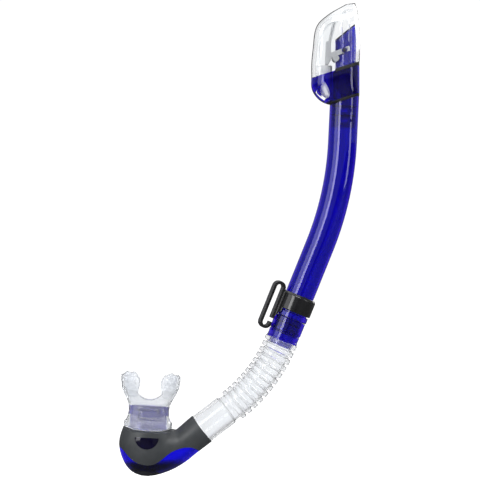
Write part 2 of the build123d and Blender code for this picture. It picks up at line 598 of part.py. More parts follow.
def flap_outline(half, start, end):
    straight = end - half - start
    return Pos(start + straight / 2, 0) * Rectangle(straight, 2 * half) + Pos(end - half, 0) * Circle(half)


def flap_seal():
    outline = flap_outline(FLAP_HALF - 0.3, 0.6, FLAP_LENGTH - 0.4)
    return opened(extrude(seat_frame(SEAT_GAP) * outline, FLAP_SEAL))


def flap_lever():
    """Flap plate, side arms and foot in one moulding, modelled with the flap open."""
    base = seat_frame(SEAT_GAP + FLAP_SEAL)
    plate = extrude(base * flap_outline(FLAP_HALF, -1.0, FLAP_LENGTH), FLAP_PLATE)
    plate += extrude(base * Pos(2.5, 0) * Rectangle(7.0, 2 * ARM_OUT), FLAP_PLATE)
    bar = polygon([(28.7, 231.8), (30.3, 227.6), (49.9, 235.1), (49.4, 238.0), (48.3, 239.4)])
    strip = polygon([(26.8, 222.0), (29.0, 222.0), (32.0, 226.0), (32.0, 243.5), (27.6, 243.5)])
    web = polygon([(26.8, 222.0), (29.0, 222.0), (29.4, 225.0), (29.4, 243.5), (27.6, 243.5)])
    arms = pair(ARM_IN, ARM_OUT, bar) + pair(ARM_IN, ARM_OUT, strip)
    boss = Cylinder(BOSS_R, 2 * ARM_OUT) - Cylinder(BOSS_R, 2 * ARM_IN)
    boss = Pos(BOSS_X, 0, BOSS_Z) * Rot(90, 0, 0) * boss
    web = slab(web, -ARM_OUT, ARM_OUT)
    hole = Pos(PIVOT_X, 0, PIVOT_Z) * Rot(90, 0, 0) * Cylinder(PIN_R + PIN_GAP, 60)
    return opened(plate) + arms + boss + web - hole


def lever_pins():
    pins = Part()
    for side in (-1, 1):
        pins += Pos(PIVOT_X, side * 11.3, PIVOT_Z) * Rot(90, 0, 0) * Cylinder(PIN_R, 4.6)
        pins += Pos(PIVOT_X, side * 13.3, PIVOT_Z) * Rot(90, 0, 0) * Cylinder(PIN_HEAD_R, 0.8)
    return pins


def float_block(inset):
    """Outer shape of the float: a rounded block with a bottom that follows the cup."""
    middle = (FLOAT_FRONT + FLOAT_BACK) / 2
    plan = RectangleRounded(FLOAT_BACK - FLOAT_FRONT - 2 * inset, 2 * (FLOAT_HALF - inset), 7.4 - inset)
    block = Pos(middle, 0, 180) * extrude(plan, FLOAT_TOP - 180 - inset)
    return block & (Pos(0, 0, 3.2 + inset) * cup_solid(3.0) + Pos(middle, 0, 226) * Box(40, 60, 32))


def float_body():
    body = float_block(0) - float_block(FLOAT_WALL)
    return body - Pos(25, 0, FLOAT_TOP + 20 - FLOAT_LID) * Box(60, 60, 40)


def float_lid():
    lid = float_block(0) & (Pos(25, 0, FLOAT_TOP + 20 - FLOAT_LID) * Box(60, 60, 40))
    lip = float_block(FLOAT_WALL + 0.1) & (Pos(25, 0, FLOAT_TOP - FLOAT_LID) * Box(60, 60, 3))
    hollow = float_block(FLOAT_WALL + 1.0) & (Pos(25, 0, FLOAT_TOP - FLOAT_LID - 1) * Box(60, 60, 5))
    return lid + lip - hollow


def main():
    os.makedirs("parts", exist_ok=True)
    pieces = [
        top_cover, seam_gasket, intake_cup, cover_latches, air_duct, neck_o_rings, duct_rim_seal,
        flap_lever, flap_seal, lever_pins, float_body, float_lid, barrel, strap_keeper, swivel_coupling,
        coupling_o_ring, retaining_ring, flex_hose, air_chamber, grip_sleeve, side_badges,
        purge_cover, purge_seat, purge_diaphragm, mouthpiece,
    ]
    for piece in pieces:
        shape = piece()
        export_step(shape, f"parts/{piece.__name__}.step")
        print(piece.__name__, len(shape.solids()), round(shape.volume), shape.is_valid, flush=True)


main()
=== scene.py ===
import json
import math

import bmesh
import bpy
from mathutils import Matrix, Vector


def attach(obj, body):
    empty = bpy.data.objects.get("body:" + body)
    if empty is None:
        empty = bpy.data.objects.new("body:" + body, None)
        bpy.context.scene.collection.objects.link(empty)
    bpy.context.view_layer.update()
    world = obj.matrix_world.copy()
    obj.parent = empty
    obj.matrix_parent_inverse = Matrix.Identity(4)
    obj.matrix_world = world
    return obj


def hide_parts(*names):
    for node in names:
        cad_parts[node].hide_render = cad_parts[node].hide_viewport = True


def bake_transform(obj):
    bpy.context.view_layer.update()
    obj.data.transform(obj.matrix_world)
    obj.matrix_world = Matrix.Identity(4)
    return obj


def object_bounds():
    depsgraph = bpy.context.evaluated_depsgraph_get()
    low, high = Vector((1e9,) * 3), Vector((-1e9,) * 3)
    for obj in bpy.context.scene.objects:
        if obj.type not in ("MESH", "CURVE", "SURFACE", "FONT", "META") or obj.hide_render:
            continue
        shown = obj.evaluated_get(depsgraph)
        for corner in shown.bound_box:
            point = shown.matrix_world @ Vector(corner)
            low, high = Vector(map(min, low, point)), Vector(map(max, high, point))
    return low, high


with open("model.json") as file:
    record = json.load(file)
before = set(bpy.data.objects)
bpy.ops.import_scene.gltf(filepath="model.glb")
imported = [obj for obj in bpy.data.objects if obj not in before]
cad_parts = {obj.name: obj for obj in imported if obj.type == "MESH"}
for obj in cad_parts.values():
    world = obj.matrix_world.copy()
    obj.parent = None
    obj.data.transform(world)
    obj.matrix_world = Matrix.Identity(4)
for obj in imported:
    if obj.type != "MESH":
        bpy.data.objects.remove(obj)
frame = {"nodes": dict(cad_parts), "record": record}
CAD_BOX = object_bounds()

# ---------------------------------------------------------------- driving dimensions, metres and degrees
LOW_LEAN, HOSE_END_LEAN = 22.0, 52.8
COUPLING_END = 0.0363
HOSE_BEND_R, HOSE_STRAIGHT = 0.147, 0.0334
CORE_R, BORE_R, RIB_R = 0.0127, 0.0113, 0.0156
RIB_WIDTH, RIB_PITCH, RIB_COUNT = 0.0044, 0.0066, 12
FIRST_RIB = 0.0022                # distance of the first rib's middle from the coupling
CUFF_R, CUFF_LENGTH, PLUG_R, PLUG_DEPTH = 0.0143, 0.029, 0.0129, 0.0098
FACE_GAP = 0.00005               # clearance between two pieces that meet face to face
BEND = math.radians(HOSE_END_LEAN - LOW_LEAN)
HOSE_ARC = HOSE_BEND_R * BEND
HOSE_LENGTH = HOSE_ARC + HOSE_STRAIGHT


def direction(lean):
    a = math.radians(lean)
    return Vector((-math.sin(a), 0, -math.cos(a)))


def hose_point(s):
    """Point on the hose's axis s metres below the coupling, with the direction down the hose."""
    turned = min(max(s, 0.0), HOSE_ARC) / HOSE_BEND_R
    a0 = math.radians(LOW_LEAN)
    a1 = a0 + turned
    start = direction(LOW_LEAN) * COUPLING_END
    offset = Vector((math.cos(a0) - math.cos(a1), 0, math.sin(a1) - math.sin(a0)))
    down = direction(math.degrees(a1))
    past = min(s, 0.0) + max(s - HOSE_ARC, 0.0)
    return start - offset * HOSE_BEND_R + down * past, down


# ---------------------------------------------------------------- materials
def new_material(name):
    material = bpy.data.materials.new(name)
    material.use_nodes = True
    tree = material.node_tree
    shader = tree.nodes["Principled BSDF"]
    return material, tree, shader


def noise(tree, scale, detail=3.0, stretch=(1, 1, 1)):
    """Noise in the piece's own coordinates; scale is in waves per metre."""
    coords = tree.nodes.new("ShaderNodeTexCoord")
    mapping = tree.nodes.new("ShaderNodeMapping")
    mapping.inputs["Scale"].default_value = stretch
    texture = tree.nodes.new("ShaderNodeTexNoise")
    texture.inputs["Scale"].default_value = scale
    texture.inputs["Detail"].default_value = detail
    tree.links.new(coords.outputs["Object"], mapping.inputs["Vector"])
    tree.links.new(mapping.outputs["Vector"], texture.inputs["Vector"])
    return texture.outputs["Fac"]


def spread(tree, value, low, high):
    ramp = tree.nodes.new("ShaderNodeMapRange")
    ramp.inputs["From Min"].default_value = 0.3
    ramp.inputs["From Max"].default_value = 0.7
    ramp.inputs["To Min"].default_value = low
    ramp.inputs["To Max"].default_value = high
    tree.links.new(value, ramp.inputs["Value"])
    return ramp.outputs["Result"]


def blend_colour(tree, value, one, two):
    mix = tree.nodes.new("ShaderNodeMix")
    mix.data_type = "RGBA"
    mix.inputs["A"].default_value = (*one, 1)
    mix.inputs["B"].default_value = (*two, 1)
    tree.links.new(value, mix.inputs["Factor"])
    return mix.outputs["Result"]


def bump(tree, shader, value, depth, strength):
    node = tree.nodes.new("ShaderNodeBump")
    node.inputs["Strength"].default_value = strength
    node.inputs["Distance"].default_value = depth
    tree.links.new(value, node.inputs["Height"])
    tree.links.new(node.outputs["Normal"], shader.inputs["Normal"])


def moulded(name, one, two, roughness, grain=900, depth=0.00002, transmission=0.0, ior=1.49, coat=0.0,
            mottle=60, stretch=(1, 1, 1), bump_strength=0.4, specular=0.5):
    """A moulded plastic, rubber or silicone: cloudy colour, uneven gloss and a fine surface texture."""
    material, tree, shader = new_material(name)
    cloud = spread(tree, noise(tree, mottle, 4, stretch), 0, 1)
    tree.links.new(blend_colour(tree, cloud, one, two), shader.inputs["Base Color"])
    tree.links.new(spread(tree, noise(tree, 4 * mottle, 5), *roughness), shader.inputs["Roughness"])
    shader.inputs["IOR"].default_value = ior
    shader.inputs["Transmission Weight"].default_value = transmission
    shader.inputs["Coat Weight"].default_value = coat
    shader.inputs["Coat Roughness"].default_value = 0.04
    shader.inputs["Specular IOR Level"].default_value = specular
    bump(tree, shader, noise(tree, grain, 2), depth, bump_strength)
    return material


CLEAR = moulded("clear_plastic", (0.96, 0.975, 0.985), (0.99, 0.995, 1.0), (0.015, 0.05),
                grain=260, depth=0.00001, transmission=1.0, bump_strength=0.08)
BLUE = moulded("blue_plastic", (0.020, 0.005, 0.52), (0.032, 0.008, 0.60), (0.03, 0.08),
               grain=300, depth=0.00001, transmission=0.96, coat=0.5, mottle=30, bump_strength=0.06)
DEEP = moulded("deep_blue_plastic", (0.004, 0.002, 0.84), (0.045, 0.003, 0.90), (0.02, 0.06),
               grain=300, depth=0.00001, transmission=0.94, coat=0.3, mottle=30, bump_strength=0.06)
SILICONE = moulded("clear_silicone", (0.95, 0.97, 1.0), (0.975, 0.985, 1.0), (0.16, 0.26),
                   grain=400, transmission=0.84, ior=1.41)
HOSE = moulded("hose_silicone", (0.96, 0.975, 1.0), (0.98, 0.99, 1.0), (0.04, 0.10),
               grain=260, depth=0.00001, transmission=0.93, ior=1.38, bump_strength=0.1)
BLACK = moulded("black_plastic", (0.006, 0.006, 0.007), (0.012, 0.012, 0.013), (0.10, 0.20),
                grain=1400, depth=0.00003, coat=0.5)
BADGE = moulded("dark_plastic", (0.002, 0.001, 0.010), (0.003, 0.002, 0.018), (0.06, 0.14),
                depth=0.00001, coat=0.2, specular=0.3)
GREY = moulded("lever_plastic", (0.62, 0.63, 0.65), (0.70, 0.71, 0.73), (0.3, 0.45), grain=1600)
WHITE = moulded("float_plastic", (0.92, 0.93, 0.94), (0.96, 0.96, 0.96), (0.35, 0.5), grain=1600)
PURGE = moulded("purge_plastic", (0.008, 0.008, 0.016), (0.014, 0.014, 0.024), (0.3, 0.45), grain=1500)
SEAL = moulded("black_rubber", (0.010, 0.010, 0.011), (0.022, 0.022, 0.023), (0.45, 0.65),
               grain=2200, depth=0.00004)
SLEEVE = moulded("grey_rubber", (0.036, 0.040, 0.043), (0.050, 0.054, 0.058), (0.34, 0.46),
                 grain=2600, depth=0.00004)
STEEL = moulded("stainless_steel", (0.45, 0.45, 0.46), (0.6, 0.6, 0.6), (0.2, 0.35),
                grain=1500, stretch=(1, 1, 12))
STEEL.node_tree.nodes["Principled BSDF"].inputs["Metallic"].default_value = 1.0


def painted_shade_below(material, height, fade, colour):
    """Paints shade into a clear plastic's colour below a height: a painted stand-in for the dark drain
    parts and the shade seen through it.
    """
    tree = material.node_tree
    shader = tree.nodes["Principled BSDF"]
    coords = tree.nodes.new("ShaderNodeTexCoord")
    split = tree.nodes.new("ShaderNodeSeparateXYZ")
    tree.links.new(coords.outputs["Object"], split.inputs["Vector"])
    ramp = tree.nodes.new("ShaderNodeMapRange")
    ramp.interpolation_type = "SMOOTHSTEP"
    ramp.inputs["From Min"].default_value = height + fade
    ramp.inputs["From Max"].default_value = height - fade
    tree.links.new(split.outputs["Z"], ramp.inputs["Value"])
    mix = tree.nodes.new("ShaderNodeMix")
    mix.data_type = "RGBA"
    mix.inputs["B"].default_value = (*colour, 1)
    tree.links.new(ramp.outputs["Result"], mix.inputs["Factor"])
    tree.links.new(shader.inputs["Base Color"].links[0].from_socket, mix.inputs["A"])
    tree.links.new(mix.outputs["Result"], shader.inputs["Base Color"])


# painted shade: the elbow chamber's blue fades to near black below the drain's top
painted_shade_below(DEEP, -0.1472, 0.0016, (0.002, 0.0005, 0.12))

FINISH = {
    "clear_plastic": CLEAR, "blue_plastic": BLUE, "black_plastic": BLACK, "lever_plastic": GREY,
    "float_plastic": WHITE, "black_rubber": SEAL, "clear_silicone": SILICONE, "grey_rubber": SLEEVE,
    "dark_plastic": BADGE, "purge_plastic": PURGE, "stainless_steel": STEEL,
}
SLOT_OF = {part["node"]: part["material_slot"] for part in frame["record"]["subparts"]}
for node, obj in frame["nodes"].items():
    obj.data.materials.clear()
    obj.data.materials.append(FINISH[SLOT_OF[node]])


# ---------------------------------------------------------------- mesh helpers
def new_object(name, verts, faces, material):
    mesh = bpy.data.meshes.new(name)
    mesh.from_pydata([tuple(v) for v in verts], [], faces)
    mesh.validate()
    mesh.update()
    for polygon in mesh.polygons:
        polygon.use_smooth = True
    obj = bpy.data.objects.new(name, mesh)
    bpy.context.scene.collection.objects.link(obj)
    obj.data.materials.append(material)
    return obj


def rounded(points, radius, steps=4):
    """The outline with each inner corner replaced by a small curve."""
    out = [Vector(points[0])]
    for before, corner, after in zip(points, points[1:], points[2:]):
        b, c, a = Vector(before), Vector(corner), Vector(after)
        reach_b = min(radius, (b - c).length * 0.45)
        reach_a = min(radius, (a - c).length * 0.45)
        one = c + (b - c).normalized() * reach_b
        two = c + (a - c).normalized() * reach_a
        for i in range(steps + 1):
            t = i / steps
            out.append(one * (1 - t) ** 2 + c * 2 * t * (1 - t) + two * t ** 2)
    out.append(Vector(points[-1]))
    return out


def quads(rows, around, closed=False):
    """Faces between rings of points, and from the last ring to the first where the surface is closed."""
    faces = []
    for i in range(rows if closed else rows - 1):
        for k in range(around):
            j, n = (k + 1) % around, (i + 1) % rows
            faces.append((i * around + k, i * around + j, n * around + j, n * around + k))
    return faces


def capped(faces, rows, around):
    """The same faces with both end rings closed."""
    last = (rows - 1) * around
    return faces + [tuple(reversed(range(around))), tuple(last + k for k in range(around))]


def swept_rings(profile, place, around=96):
    """Closed surface from a closed (distance along, radius) profile, swept round the axis of place."""
    verts = []
    across = Vector((0, 1, 0))
    for s, r in profile:
        centre, down = place(s)
        side = down.cross(across)
        for k in range(around):
            a = 2 * math.pi * k / around
            verts.append(centre + (across * math.cos(a) + side * math.sin(a)) * r)
    return verts, quads(len(profile), around, closed=True)


# ---------------------------------------------------------------- hose
RIB_SLANT, CUFF_SLANT = 0.0001, 0.0004
BORE_STEPS = 70


def hose_profile():
    """Closed outline of the hose's wall as (distance along, radius), with rounded ribs."""
    cuff_start = HOSE_LENGTH - CUFF_LENGTH
    step = HOSE_LENGTH - RIB_SLANT
    end = HOSE_LENGTH + PLUG_DEPTH
    outer = [(FACE_GAP, BORE_R), (FACE_GAP, CORE_R)]
    half = RIB_WIDTH / 2
    for i in range(RIB_COUNT):
        s = FIRST_RIB + i * RIB_PITCH
        outer += [(s - half, CORE_R), (s - half + RIB_SLANT, RIB_R)]
        outer += [(s + half - RIB_SLANT, RIB_R), (s + half, CORE_R)]
    outer += [(cuff_start, CORE_R), (cuff_start + CUFF_SLANT, CUFF_R), (step, CUFF_R), (step, PLUG_R),
              (end, PLUG_R), (end, BORE_R)]
    bore = [(end * i / BORE_STEPS, BORE_R) for i in range(BORE_STEPS - 1, 0, -1)]
    return rounded(outer + bore + [(FACE_GAP, BORE_R)], 0.0009)[:-1]


verts, faces = swept_rings(hose_profile(), hose_point)
hose = new_object("hose_silicone", verts, faces, HOSE)
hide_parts("flex_hose")
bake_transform(hose)


# ---------------------------------------------------------------- cutting and closing surfaces
def keep(verts, faces, value):
    """The part of a surface where value(point) is above zero, cut along the line where it is zero."""
    marks = [value(v) for v in verts]
    verts = list(verts)
    cuts = {}

    def cut(a, b):
        key = (min(a, b), max(a, b))
        if key not in cuts:
            cuts[key] = len(verts)
            verts.append(verts[a].lerp(verts[b], marks[a] / (marks[a] - marks[b])))
        return cuts[key]

    out = []
    for face in faces:
        loop = []
        for a, b in zip(face, face[1:] + face[:1]):
            if marks[a] > 0:
                loop.append(a)
            if (marks[a] > 0) != (marks[b] > 0):
                loop.append(cut(a, b))
        if len(loop) > 2:
            out.append(tuple(loop))
    used = sorted({i for face in out for i in face})
    place = {old: new for new, old in enumerate(used)}
    return [verts[i] for i in used], [tuple(place[i] for i in face) for face in out]


def boundary_points(verts, faces):
    """Points on the open edges of a surface."""
    edges = {}
    for face in faces:
        for a, b in zip(face, face[1:] + face[:1]):
            key = (min(a, b), max(a, b))
            edges[key] = edges.get(key, 0) + 1
    return sorted({i for key, n in edges.items() if n == 1 for i in key})


def tidy(obj, merge=0.00002):
    """Joins close points and turns the faces outwards."""
    mesh = bmesh.new()
    mesh.from_mesh(obj.data)
    bmesh.ops.remove_doubles(mesh, verts=mesh.verts, dist=merge)
    bmesh.ops.recalc_face_normals(mesh, faces=mesh.faces)
    mesh.to_mesh(obj.data)
    mesh.free()
    for polygon in obj.data.polygons:
        polygon.use_smooth = True
    return obj


def walled(obj, thickness):
    """A wall of this thickness behind the surface."""
    wall = obj.modifiers.new("wall", "SOLIDIFY")
    wall.thickness = thickness
    wall.offset = -1
    wall.use_even_offset = True
    return obj


def thicken(obj, thickness, rim):
    """A wall of this thickness behind the surface, with rounded rims."""
    walled(obj, thickness)
    edge = obj.modifiers.new("rim", "BEVEL")
    edge.width = rim
    edge.segments = 3
    edge.limit_method = "ANGLE"
    edge.angle_limit = math.radians(50)
    edge.harden_normals = True
    return obj


def applied(obj):
    """Applies an object's modifiers to its mesh."""
    graph = bpy.context.evaluated_depsgraph_get()
    mesh = bpy.data.meshes.new_from_object(obj.evaluated_get(graph))
    obj.modifiers.clear()
    obj.data = mesh
    for polygon in mesh.polygons:
        polygon.use_smooth = True
    return obj


def softened(obj, voxel, repeats):
    """One closed skin over all of an object's shells, with every edge rounded."""
    skin = obj.modifiers.new("skin", "REMESH")
    skin.mode = "VOXEL"
    skin.voxel_size = voxel
    skin.use_smooth_shade = True
    smooth = obj.modifiers.new("soft", "SMOOTH")
    smooth.factor = 0.5
    smooth.iterations = repeats
    return applied(obj)


def joined(name, shells, material):
    """One object from several (verts, faces) shells."""
    verts, faces = [], []
    for shell_verts, shell_faces in shells:
        base = len(verts)
        verts += list(shell_verts)
        faces += [tuple(base + i for i in face) for face in shell_faces]
    return new_object(name, verts, faces, material)


def copy_of(node, name):
    """A new piece with a CAD node's shape and material, which stands for that node."""
    source = frame["nodes"][node]
    obj = bpy.data.objects.new(name, source.data.copy())
    bpy.context.scene.collection.objects.link(obj)
    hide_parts(node)
    return obj


def cubic(points):
    """Natural cubic spline through points, over their chord lengths, as a function of 0..1."""
    count = len(points)
    t = [0.0]
    for a, b in zip(points, points[1:]):
        t.append(t[-1] + (b - a).length)
    zero = points[0] * 0
    h = [b - a for a, b in zip(t, t[1:])]
    slope = [(b - a) / step for a, b, step in zip(points, points[1:], h)]
    diag, right = [1.0] * count, [zero.copy() for _ in points]
    upper = [0.0] * count
    for i in range(1, count - 1):
        low = h[i - 1]
        pivot = 2 * (h[i - 1] + h[i]) - low * upper[i - 1]
        upper[i] = h[i] / pivot
        right[i] = ((slope[i] - slope[i - 1]) * 6 - right[i - 1] * low) / pivot
        diag[i] = pivot
    curve = [zero.copy() for _ in points]
    for i in range(count - 2, 0, -1):
        curve[i] = right[i] - curve[i + 1] * upper[i]

    def at(u):
        s = min(max(u, 0.0), 1.0) * t[-1]
        i = max(0, min(count - 2, sum(1 for x in t[1:-1] if x <= s)))
        a, b = t[i + 1] - s, s - t[i]
        bent = curve[i] * a ** 3 / (6 * h[i]) + curve[i + 1] * b ** 3 / (6 * h[i])
        left = (points[i] / h[i] - curve[i] * h[i] / 6) * a
        right_side = (points[i + 1] / h[i] - curve[i + 1] * h[i] / 6) * b
        return bent + left + right_side

    return at


# ---------------------------------------------------------------- elbow
MOUTH_X, MOUTH_Z, MOUTH_TILT = -0.138, -0.1148, math.radians(3.5)
MOUTH_ACROSS = Vector((math.cos(MOUTH_TILT), 0, -math.sin(MOUTH_TILT)))
MOUTH_UP = Vector((math.sin(MOUTH_TILT), 0, math.cos(MOUTH_TILT)))
MOUTH = Vector((MOUTH_X, 0, MOUTH_Z))
HUB = Vector((-0.1124, 0, -0.1144))
HUB_R = 0.0022
SOCKET_R, NECK_LENGTH = 0.0151, 0.0189
ORAL_X, ORAL_Y, ORAL_HEIGHT = 0.0169, 0.0092, 0.0205
ORAL_ROOM = 0.0012               # how much wider than the spigot the sleeve's opening is
# the bowl's outermost points with the half depth there, and the sleeve's scooped lower edge, millimetres
BOWL = [(-160.6, -113.0, 20.0), (-164.7, -127.5, 21.0), (-161.8, -143.1, 21.0), (-153.6, -155.2, 20.6),
        (-141.8, -160.0, 19.8), (-128.2, -158.6, 18.6), (-114.4, -153.6, 16.9), (-101.0, -145.4, 15.3)]
EDGE = [(-175, -130.0), (-170, -131.0), (-163.6, -133.0), (-155.0, -141.8), (-146.1, -147.6),
        (-137.0, -149.2), (-130.4, -147.6), (-123.3, -142.8), (-115.0, -136.6), (-109.2, -134.2),
        (-102.2, -132.8), (-95.5, -133.6), (-89.4, -137.4), (-84.0, -144.0), (-70.0, -150.0)]
CHAMBER_WALL, SLEEVE_WALL = 0.0018, 0.0016
SHOULDER_DROP = 0.0042           # how far the sleeve's top falls away to the front and back
PURGE_X, PURGE_R = -0.140, 0.0126
DRAIN_TOP = -0.150               # height below which the bowl's skin is open round the drain
SECTIONS, AROUND = 84, 128
SOCKET, SOCKET_DOWN = hose_point(HOSE_LENGTH)
NECK_SIDE = Vector((math.cos(math.radians(HOSE_END_LEAN)), 0, -math.sin(math.radians(HOSE_END_LEAN))))


def bowl(inset):
    """The elbow's outer surface, or a layer inside it, as rings that fan about the inside bend."""
    neck = SOCKET + SOCKET_DOWN * NECK_LENGTH + NECK_SIDE * SOCKET_R
    points = [Vector((x, depth, z)) / 1000 for x, z, depth in BOWL] + [Vector((neck.x, SOCKET_R, neck.z))]
    outline = cubic(points)
    rings = []
    for i in range(SECTIONS + 1):
        point = outline(i / SECTIONS)
        out = Vector((point.x, 0, point.z))
        ray = (out - HUB).normalized()
        near = HUB + ray * HUB_R
        rings.append(((out + near) / 2, ray, (out - near).length / 2 - inset, point.y - inset))
    for i in range(1, 9):
        t = i / 8
        one, last = rings[SECTIONS], (SOCKET, NECK_SIDE, SOCKET_R - inset, SOCKET_R - inset)
        rings.append((one[0].lerp(last[0], t), one[1].lerp(last[1], t), one[2] + (last[2] - one[2]) * t,
                      one[3] + (last[3] - one[3]) * t))
    verts = []
    for centre, ray, half, depth in rings:
        for k in range(AROUND):
            a = 2 * math.pi * k / AROUND
            verts.append(centre + ray * half * math.cos(a) + Vector((0, 1, 0)) * depth * math.sin(a))
    return verts, quads(len(rings), AROUND)


def edge_height(points):
    curve = cubic([Vector((x, 0, z)) / 1000 for x, z in points])
    samples = [curve(i / 400) for i in range(401)]

    def height(x):
        low, high = 0, 400
        while high - low > 1:
            middle = (low + high) // 2
            if samples[middle].x <= x:
                low = middle
            else:
                high = middle
        a, b = samples[low], samples[high]
        t = min(max((x - a.x) / (b.x - a.x), 0.0), 1.0)
        return a.z + (b.z - a.z) * t

    return height


sleeve_edge = edge_height(EDGE)


def in_mouth(p):
    """Across, depth and height of a point in the mouthpiece's own frame."""
    d = p - MOUTH
    return d.dot(MOUTH_ACROSS), p.y, d.dot(MOUTH_UP)


def ease(x):
    x = min(max(x, 0.0), 1.0)
    return x * x * (3 - 2 * x)


def shoulder(depth):
    """Height of the sleeve's top at this distance from the mirror plane."""
    return -SHOULDER_DROP * ease((abs(depth) - 0.003) / 0.015)


def above_edge(p, shift=0.0):
    return p.z - sleeve_edge(p.x) - shift


def under_top(p):
    across, depth, height = in_mouth(p)
    if p.x > HUB.x:
        return 0.01
    return shoulder(depth) - height


BADGE_HALF, BADGE_TOP, BADGE_DROP = 0.0113, -0.0086, 0.0108
BADGE_R = (BADGE_HALF ** 2 + BADGE_DROP ** 2) / (2 * BADGE_DROP)


def in_badge(p, shrink=0.0):
    across, depth, height = in_mouth(p)
    if abs(depth) < 0.01:
        return -0.01
    centre = BADGE_TOP - BADGE_DROP + BADGE_R
    return min(BADGE_TOP - shrink - height, BADGE_R - shrink - math.hypot(across, height - centre))


def oval_point(a, half_x, half_y, height, power=1.0):
    c, s = math.cos(a), math.sin(a)
    c = math.copysign(abs(c) ** power, c)
    s = math.copysign(abs(s) ** power, s)
    return MOUTH + MOUTH_ACROSS * half_x * c + Vector((0, half_y * s, 0)) + MOUTH_UP * height


def sleeve_shells():
    """The sleeve's outer skin, from its scooped edge up to its flat top, with the spigot's opening."""
    outer = bowl(0)
    outer = keep(*outer, above_edge)
    verts, faces = keep(*outer, under_top)
    rim = [i for i in boundary_points(verts, faces)
           if verts[i].x < HUB.x and abs(under_top(verts[i])) < 0.0001]
    rim.sort(key=lambda i: math.atan2(in_mouth(verts[i])[1] / 0.02, in_mouth(verts[i])[0] / 0.024))
    verts = list(verts)
    loop = rim
    for step in range(1, 9):
        t = step / 8
        ring = []
        for i in rim:
            across, depth, _ = in_mouth(verts[i])
            a = math.atan2(depth / ORAL_Y, across / ORAL_X)
            hole_x = (ORAL_X + ORAL_ROOM) * math.cos(a)
            hole_y = (ORAL_Y + ORAL_ROOM) * math.sin(a)
            x = across + (hole_x - across) * t
            y = depth + (hole_y - depth) * t
            ring.append(len(verts))
            verts.append(MOUTH + MOUTH_ACROSS * x + Vector((0, y, 0)) + MOUTH_UP * shoulder(y))
        for k in range(len(loop)):
            j = (k + 1) % len(loop)
            faces.append((loop[k], loop[j], ring[j], ring[k]))
        loop = ring
    return verts, faces


verts, faces = sleeve_shells()
verts, faces = keep(verts, faces, lambda p: -in_badge(p))
sleeve = tidy(new_object("elbow_sleeve", verts, faces, SLEEVE))
thicken(sleeve, SLEEVE_WALL - 0.0001, 0.00035)
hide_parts("grip_sleeve")
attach(sleeve, "elbow")


# the blue chamber: its open lower skin, the layer under the sleeve, and the oval spigot
DRAIN_ROOM = 0.0114              # radius over the drain that stays free for the purge valve's disc


def round_the_drain(p):
    if p.z > DRAIN_TOP:
        return 0.01
    return math.hypot(p.x - PURGE_X, p.y) - (PURGE_R - 0.0004)


skin = keep(*bowl(0), lambda p: -above_edge(p, 0.00012))
skin = keep(*skin, round_the_drain)
chamber = tidy(new_object("elbow_chamber", *skin, DEEP))
applied(thicken(chamber, SLEEVE_WALL + CHAMBER_WALL, 0.0003))
for vertex in chamber.data.vertices:
    across, depth = vertex.co.x - PURGE_X, vertex.co.y
    reach = math.hypot(across, depth)
    if vertex.co.z < -0.148 and reach < DRAIN_ROOM:
        vertex.co.x = PURGE_X + across * DRAIN_ROOM / reach
        vertex.co.y = depth * DRAIN_ROOM / reach
lining = keep(*bowl(SLEEVE_WALL + 0.0001), lambda p: above_edge(p, 0.0008))
lining = keep(*lining, lambda p: under_top(p) - 0.0018)
lining = tidy(new_object("elbow_lining", *lining, BLUE))
thicken(lining, CHAMBER_WALL, 0.0002)


def oval_wall(rings, around=120):
    """Closed wall from rings of (half width, half depth, height), outside up and inside down."""
    turn = 2 * math.pi / around
    verts = [oval_point(turn * k, x, y, z, 0.9) for x, y, z in rings for k in range(around)]
    return verts, quads(len(rings), around, closed=True)


def ring_profile(points, radius):
    """Rounds the outline of a wall given as (offset outwards, height) and turns it into oval rings."""
    return [(ORAL_X + off, ORAL_Y + off, height) for off, height in rounded(points, radius)[:-1]]


ORAL_PROFILE = [(0.0006, -0.0016), (0.0001, 0.003), (0.0, ORAL_HEIGHT), (-CHAMBER_WALL, ORAL_HEIGHT),
                (-CHAMBER_WALL, -0.0085), (-0.0002, -0.0085), (0.0006, -0.0016)]
spigot = oval_wall(ring_profile(ORAL_PROFILE, 0.0006))


def frame_bar(x0, x1, z0, z1, side, half_x, half_y, proud):
    """One rounded bar of a frame moulded on the flat side of an oval wall of these half sizes."""
    verts = []
    columns, rows = 24, 8
    for i in range(columns + 1):
        x = x0 + (x1 - x0) * i / columns
        depth = half_y * (1 - (abs(x) / half_x) ** 2.22) ** 0.45
        for j in range(rows):
            a = 2 * math.pi * j / rows
            high = (z0 + z1) / 2 + (z1 - z0) / 2 * math.sin(a)
            out = depth + proud * math.cos(a)
            verts.append(MOUTH + MOUTH_ACROSS * x + Vector((0, side * out, 0)) + MOUTH_UP * high)
    return verts, capped(quads(columns + 1, rows), columns + 1, rows)


FRAME_X, FRAME_LOW, FRAME_HIGH, FRAME_BAR = 0.0093, 0.0070, 0.0160, 0.0013


def frame_bars(*wall):
    """The four bars of the frame, on both sides of an oval wall."""
    bars = []
    for side in (-1, 1):
        bars.append(frame_bar(-FRAME_X, FRAME_X, FRAME_LOW, FRAME_LOW + FRAME_BAR, side, *wall))
        bars.append(frame_bar(-FRAME_X, FRAME_X, FRAME_HIGH, FRAME_HIGH + FRAME_BAR, side, *wall))
        for end in (-1, 1):
            x0, x1 = sorted((end * FRAME_X, end * (FRAME_X - FRAME_BAR)))
            bars.append(frame_bar(x0, x1, FRAME_LOW, FRAME_HIGH + FRAME_BAR, side, *wall))
    return bars


oral = tidy(joined("oral_spigot", [spigot] + frame_bars(ORAL_X, ORAL_Y, 0.0007), BLUE), 0.000001)
for part in (chamber, lining, oral):
    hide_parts("air_chamber")
    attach(part, "elbow")

